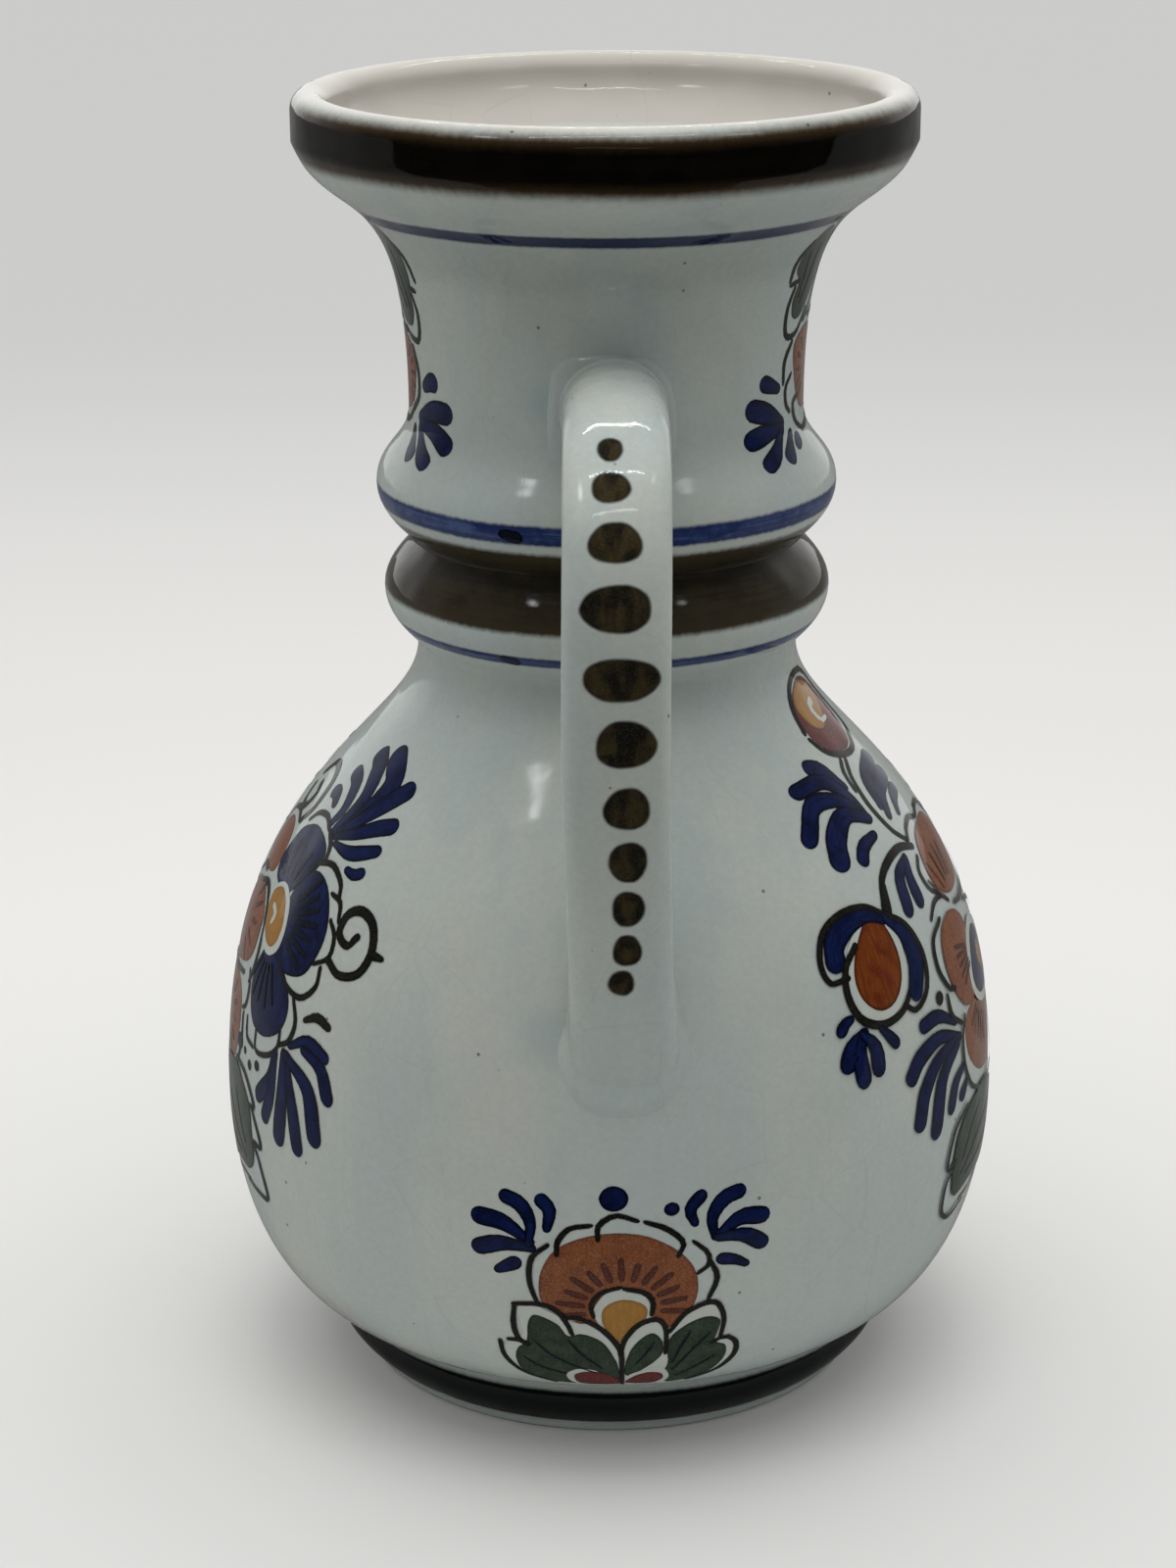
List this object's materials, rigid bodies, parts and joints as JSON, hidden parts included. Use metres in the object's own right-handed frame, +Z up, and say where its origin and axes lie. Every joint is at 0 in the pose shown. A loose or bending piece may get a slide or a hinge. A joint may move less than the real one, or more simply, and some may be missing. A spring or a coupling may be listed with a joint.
{
  "type": "pitcher",
  "caption": "Glazed earthenware pitcher with a round belly, ringed waist, flared neck and strap handle, painted with rings and flower sprays.",
  "frame": {"origin": "on the table, under the middle of the whole piece with its handle, so the axis of the jug stands 5.6 mm towards +Y", "axes": "+Z up along the axis of the jug, the handle on the -Y side, +X to the right of someone who faces the handle"},
  "size_m": [0.1376, 0.1488, 0.227],
  "materials": {
    "glazed_wall": "pale grey-blue tin glaze, glossy, with a fine crackle and painted rings and flowers under it",
    "glazed_strap": "the same glaze on the handle, glossy, with a row of dark painted spots",
    "glazed_joint": "glossy glaze that pools a little bluer around the roots of the handle"
  },
  "bodies": {
    "root": {"body": "glazed_wall", "handle": "glazed_strap", "upper_luting_slip": "glazed_joint", "lower_luting_slip": "glazed_joint"}
  },
  "joints": []
}
